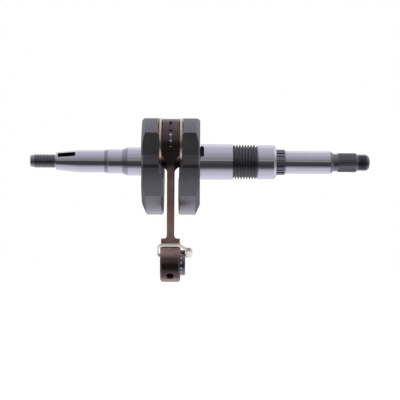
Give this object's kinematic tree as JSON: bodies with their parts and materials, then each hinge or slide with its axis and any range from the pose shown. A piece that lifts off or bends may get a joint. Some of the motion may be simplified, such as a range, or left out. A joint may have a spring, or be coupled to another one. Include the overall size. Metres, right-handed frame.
{
  "type": "crankshaft",
  "caption": "Built-up single-cylinder crankshaft with two cut-away webs, crankpin, connecting rod on needle rollers, tapered flywheel end, oil pump worm and splined drive end.",
  "frame": {"origin": "on the shaft's axis, midway between the two webs, which is the cylinder's centre plane", "axes": "+X along the shaft towards the drive end, -X towards the flywheel end, -Z the way the connecting rod hangs, +Y away from the crankpin"},
  "size_m": [0.2421, 0.0689, 0.1153],
  "materials": {
    "ground_steel": "ground and polished, with a film of oil",
    "blackened_steel": "forged and machined, dark from heat treatment, satin",
    "roller_steel": "hardened and lapped",
    "cage_steel": "hardened, dark bluish",
    "bronze": "satin copper-bronze",
    "copper_plated_forging": "dull copper plating over a forging, stained",
    "nylon": "natural nylon, slightly translucent"
  },
  "bodies": {
    "crank": {"flywheel_side_shaft": "ground_steel", "flywheel_side_web": "blackened_steel", "drive_side_shaft": "ground_steel", "drive_side_web": "blackened_steel", "crankpin": "ground_steel"},
    "rod": {"connecting_rod": "copper_plated_forging", "cable_tie": "nylon"},
    "flywheel_washer": {"flywheel_side_washer": "bronze"},
    "drive_washer": {"drive_side_washer": "bronze"},
    "big_cage": {"big_end_cage": "cage_steel"},
    "small_cage": {"small_end_cage": "cage_steel"},
    "big_end_roller_01": {"big_end_roller_01": "roller_steel"},
    "big_end_roller_02": {"big_end_roller_02": "roller_steel"},
    "big_end_roller_03": {"big_end_roller_03": "roller_steel"},
    "big_end_roller_04": {"big_end_roller_04": "roller_steel"},
    "big_end_roller_05": {"big_end_roller_05": "roller_steel"},
    "big_end_roller_06": {"big_end_roller_06": "roller_steel"},
    "big_end_roller_07": {"big_end_roller_07": "roller_steel"},
    "big_end_roller_08": {"big_end_roller_08": "roller_steel"},
    "big_end_roller_09": {"big_end_roller_09": "roller_steel"},
    "big_end_roller_10": {"big_end_roller_10": "roller_steel"},
    "big_end_roller_11": {"big_end_roller_11": "roller_steel"},
    "big_end_roller_12": {"big_end_roller_12": "roller_steel"},
    "big_end_roller_13": {"big_end_roller_13": "roller_steel"},
    "big_end_roller_14": {"big_end_roller_14": "roller_steel"},
    "big_end_roller_15": {"big_end_roller_15": "roller_steel"},
    "big_end_roller_16": {"big_end_roller_16": "roller_steel"},
    "big_end_roller_17": {"big_end_roller_17": "roller_steel"},
    "big_end_roller_18": {"big_end_roller_18": "roller_steel"},
    "small_end_roller_01": {"small_end_roller_01": "roller_steel"},
    "small_end_roller_02": {"small_end_roller_02": "roller_steel"},
    "small_end_roller_03": {"small_end_roller_03": "roller_steel"},
    "small_end_roller_04": {"small_end_roller_04": "roller_steel"},
    "small_end_roller_05": {"small_end_roller_05": "roller_steel"},
    "small_end_roller_06": {"small_end_roller_06": "roller_steel"},
    "small_end_roller_07": {"small_end_roller_07": "roller_steel"},
    "small_end_roller_08": {"small_end_roller_08": "roller_steel"},
    "small_end_roller_09": {"small_end_roller_09": "roller_steel"},
    "small_end_roller_10": {"small_end_roller_10": "roller_steel"},
    "small_end_roller_11": {"small_end_roller_11": "roller_steel"},
    "small_end_roller_12": {"small_end_roller_12": "roller_steel"},
    "small_end_roller_13": {"small_end_roller_13": "roller_steel"},
    "small_end_roller_14": {"small_end_roller_14": "roller_steel"},
    "small_end_roller_15": {"small_end_roller_15": "roller_steel"},
    "small_end_roller_16": {"small_end_roller_16": "roller_steel"}
  },
  "joints": [
    {"name": "rod_swing", "type": "hinge", "parent": "crank", "child": "rod", "pos_m": [0, -0.01463, 0.01364], "axis": [1, 0, 0], "continuous": true},
    {"name": "flywheel_washer_spin", "type": "hinge", "parent": "crank", "child": "flywheel_washer", "pos_m": [0, -0.01463, 0.01364], "axis": [1, 0, 0], "continuous": true},
    {"name": "drive_washer_spin", "type": "hinge", "parent": "crank", "child": "drive_washer", "pos_m": [0, -0.01463, 0.01364], "axis": [1, 0, 0], "continuous": true},
    {"name": "big_cage_spin", "type": "hinge", "parent": "crank", "child": "big_cage", "pos_m": [0, -0.01463, 0.01364], "axis": [1, 0, 0], "continuous": true},
    {"name": "small_cage_spin", "type": "hinge", "parent": "rod", "child": "small_cage", "pos_m": [0, -0.01463, -0.07136], "axis": [1, 0, 0], "continuous": true},
    {"name": "big_roller_spin_01", "type": "hinge", "parent": "big_cage", "child": "big_end_roller_01", "pos_m": [0, -0.00313, 0.01364], "axis": [1, 0, 0], "continuous": true},
    {"name": "big_roller_spin_02", "type": "hinge", "parent": "big_cage", "child": "big_end_roller_02", "pos_m": [0, -0.00382, 0.01757], "axis": [1, 0, 0], "continuous": true},
    {"name": "big_roller_spin_03", "type": "hinge", "parent": "big_cage", "child": "big_end_roller_03", "pos_m": [0, -0.00582, 0.02103], "axis": [1, 0, 0], "continuous": true},
    {"name": "big_roller_spin_04", "type": "hinge", "parent": "big_cage", "child": "big_end_roller_04", "pos_m": [0, -0.00888, 0.0236], "axis": [1, 0, 0], "continuous": true},
    {"name": "big_roller_spin_05", "type": "hinge", "parent": "big_cage", "child": "big_end_roller_05", "pos_m": [0, -0.01263, 0.02497], "axis": [1, 0, 0], "continuous": true},
    {"name": "big_roller_spin_06", "type": "hinge", "parent": "big_cage", "child": "big_end_roller_06", "pos_m": [0, -0.01662, 0.02497], "axis": [1, 0, 0], "continuous": true},
    {"name": "big_roller_spin_07", "type": "hinge", "parent": "big_cage", "child": "big_end_roller_07", "pos_m": [0, -0.02038, 0.0236], "axis": [1, 0, 0], "continuous": true},
    {"name": "big_roller_spin_08", "type": "hinge", "parent": "big_cage", "child": "big_end_roller_08", "pos_m": [0, -0.02344, 0.02103], "axis": [1, 0, 0], "continuous": true},
    {"name": "big_roller_spin_09", "type": "hinge", "parent": "big_cage", "child": "big_end_roller_09", "pos_m": [0, -0.02543, 0.01757], "axis": [1, 0, 0], "continuous": true},
    {"name": "big_roller_spin_10", "type": "hinge", "parent": "big_cage", "child": "big_end_roller_10", "pos_m": [0, -0.02613, 0.01364], "axis": [1, 0, 0], "continuous": true},
    {"name": "big_roller_spin_11", "type": "hinge", "parent": "big_cage", "child": "big_end_roller_11", "pos_m": [0, -0.02543, 0.00971], "axis": [1, 0, 0], "continuous": true},
    {"name": "big_roller_spin_12", "type": "hinge", "parent": "big_cage", "child": "big_end_roller_12", "pos_m": [0, -0.02344, 0.00625], "axis": [1, 0, 0], "continuous": true},
    {"name": "big_roller_spin_13", "type": "hinge", "parent": "big_cage", "child": "big_end_roller_13", "pos_m": [0, -0.02038, 0.00368], "axis": [1, 0, 0], "continuous": true},
    {"name": "big_roller_spin_14", "type": "hinge", "parent": "big_cage", "child": "big_end_roller_14", "pos_m": [0, -0.01662, 0.00231], "axis": [1, 0, 0], "continuous": true},
    {"name": "big_roller_spin_15", "type": "hinge", "parent": "big_cage", "child": "big_end_roller_15", "pos_m": [0, -0.01263, 0.00231], "axis": [1, 0, 0], "continuous": true},
    {"name": "big_roller_spin_16", "type": "hinge", "parent": "big_cage", "child": "big_end_roller_16", "pos_m": [0, -0.00888, 0.00368], "axis": [1, 0, 0], "continuous": true},
    {"name": "big_roller_spin_17", "type": "hinge", "parent": "big_cage", "child": "big_end_roller_17", "pos_m": [0, -0.00582, 0.00625], "axis": [1, 0, 0], "continuous": true},
    {"name": "big_roller_spin_18", "type": "hinge", "parent": "big_cage", "child": "big_end_roller_18", "pos_m": [0, -0.00382, 0.00971], "axis": [1, 0, 0], "continuous": true},
    {"name": "small_roller_spin_01", "type": "hinge", "parent": "small_cage", "child": "small_end_roller_01", "pos_m": [0.0018, -0.00663, -0.07136], "axis": [1, 0, 0], "continuous": true},
    {"name": "small_roller_spin_02", "type": "hinge", "parent": "small_cage", "child": "small_end_roller_02", "pos_m": [0.0018, -0.00724, -0.0683], "axis": [1, 0, 0], "continuous": true},
    {"name": "small_roller_spin_03", "type": "hinge", "parent": "small_cage", "child": "small_end_roller_03", "pos_m": [0.0018, -0.00897, -0.0657], "axis": [1, 0, 0], "continuous": true},
    {"name": "small_roller_spin_04", "type": "hinge", "parent": "small_cage", "child": "small_end_roller_04", "pos_m": [0.0018, -0.01157, -0.06397], "axis": [1, 0, 0], "continuous": true},
    {"name": "small_roller_spin_05", "type": "hinge", "parent": "small_cage", "child": "small_end_roller_05", "pos_m": [0.0018, -0.01463, -0.06336], "axis": [1, 0, 0], "continuous": true},
    {"name": "small_roller_spin_06", "type": "hinge", "parent": "small_cage", "child": "small_end_roller_06", "pos_m": [0.0018, -0.01769, -0.06397], "axis": [1, 0, 0], "continuous": true},
    {"name": "small_roller_spin_07", "type": "hinge", "parent": "small_cage", "child": "small_end_roller_07", "pos_m": [0.0018, -0.02028, -0.0657], "axis": [1, 0, 0], "continuous": true},
    {"name": "small_roller_spin_08", "type": "hinge", "parent": "small_cage", "child": "small_end_roller_08", "pos_m": [0.0018, -0.02202, -0.0683], "axis": [1, 0, 0], "continuous": true},
    {"name": "small_roller_spin_09", "type": "hinge", "parent": "small_cage", "child": "small_end_roller_09", "pos_m": [0.0018, -0.02263, -0.07136], "axis": [1, 0, 0], "continuous": true},
    {"name": "small_roller_spin_10", "type": "hinge", "parent": "small_cage", "child": "small_end_roller_10", "pos_m": [0.0018, -0.02202, -0.07442], "axis": [1, 0, 0], "continuous": true},
    {"name": "small_roller_spin_11", "type": "hinge", "parent": "small_cage", "child": "small_end_roller_11", "pos_m": [0.0018, -0.02028, -0.07702], "axis": [1, 0, 0], "continuous": true},
    {"name": "small_roller_spin_12", "type": "hinge", "parent": "small_cage", "child": "small_end_roller_12", "pos_m": [0.0018, -0.01769, -0.07875], "axis": [1, 0, 0], "continuous": true},
    {"name": "small_roller_spin_13", "type": "hinge", "parent": "small_cage", "child": "small_end_roller_13", "pos_m": [0.0018, -0.01463, -0.07936], "axis": [1, 0, 0], "continuous": true},
    {"name": "small_roller_spin_14", "type": "hinge", "parent": "small_cage", "child": "small_end_roller_14", "pos_m": [0.0018, -0.01157, -0.07875], "axis": [1, 0, 0], "continuous": true},
    {"name": "small_roller_spin_15", "type": "hinge", "parent": "small_cage", "child": "small_end_roller_15", "pos_m": [0.0018, -0.00897, -0.07702], "axis": [1, 0, 0], "continuous": true},
    {"name": "small_roller_spin_16", "type": "hinge", "parent": "small_cage", "child": "small_end_roller_16", "pos_m": [0.0018, -0.00724, -0.07442], "axis": [1, 0, 0], "continuous": true}
  ],
  "couplings": [
    {"joint": "big_cage_spin", "follows": "rod_swing", "ratio": 0.56522},
    {"joint": "big_roller_spin_01", "follows": "rod_swing", "ratio": 3.7681},
    {"joint": "big_roller_spin_02", "follows": "rod_swing", "ratio": 3.7681},
    {"joint": "big_roller_spin_03", "follows": "rod_swing", "ratio": 3.7681},
    {"joint": "big_roller_spin_04", "follows": "rod_swing", "ratio": 3.7681},
    {"joint": "big_roller_spin_05", "follows": "rod_swing", "ratio": 3.7681},
    {"joint": "big_roller_spin_06", "follows": "rod_swing", "ratio": 3.7681},
    {"joint": "big_roller_spin_07", "follows": "rod_swing", "ratio": 3.7681},
    {"joint": "big_roller_spin_08", "follows": "rod_swing", "ratio": 3.7681},
    {"joint": "big_roller_spin_09", "follows": "rod_swing", "ratio": 3.7681},
    {"joint": "big_roller_spin_10", "follows": "rod_swing", "ratio": 3.7681},
    {"joint": "big_roller_spin_11", "follows": "rod_swing", "ratio": 3.7681},
    {"joint": "big_roller_spin_12", "follows": "rod_swing", "ratio": 3.7681},
    {"joint": "big_roller_spin_13", "follows": "rod_swing", "ratio": 3.7681},
    {"joint": "big_roller_spin_14", "follows": "rod_swing", "ratio": 3.7681},
    {"joint": "big_roller_spin_15", "follows": "rod_swing", "ratio": 3.7681},
    {"joint": "big_roller_spin_16", "follows": "rod_swing", "ratio": 3.7681},
    {"joint": "big_roller_spin_17", "follows": "rod_swing", "ratio": 3.7681},
    {"joint": "big_roller_spin_18", "follows": "rod_swing", "ratio": 3.7681},
    {"joint": "small_roller_spin_01", "follows": "small_cage_spin", "ratio": -9},
    {"joint": "small_roller_spin_02", "follows": "small_cage_spin", "ratio": -9},
    {"joint": "small_roller_spin_03", "follows": "small_cage_spin", "ratio": -9},
    {"joint": "small_roller_spin_04", "follows": "small_cage_spin", "ratio": -9},
    {"joint": "small_roller_spin_05", "follows": "small_cage_spin", "ratio": -9},
    {"joint": "small_roller_spin_06", "follows": "small_cage_spin", "ratio": -9},
    {"joint": "small_roller_spin_07", "follows": "small_cage_spin", "ratio": -9},
    {"joint": "small_roller_spin_08", "follows": "small_cage_spin", "ratio": -9},
    {"joint": "small_roller_spin_09", "follows": "small_cage_spin", "ratio": -9},
    {"joint": "small_roller_spin_10", "follows": "small_cage_spin", "ratio": -9},
    {"joint": "small_roller_spin_11", "follows": "small_cage_spin", "ratio": -9},
    {"joint": "small_roller_spin_12", "follows": "small_cage_spin", "ratio": -9},
    {"joint": "small_roller_spin_13", "follows": "small_cage_spin", "ratio": -9},
    {"joint": "small_roller_spin_14", "follows": "small_cage_spin", "ratio": -9},
    {"joint": "small_roller_spin_15", "follows": "small_cage_spin", "ratio": -9},
    {"joint": "small_roller_spin_16", "follows": "small_cage_spin", "ratio": -9}
  ]
}
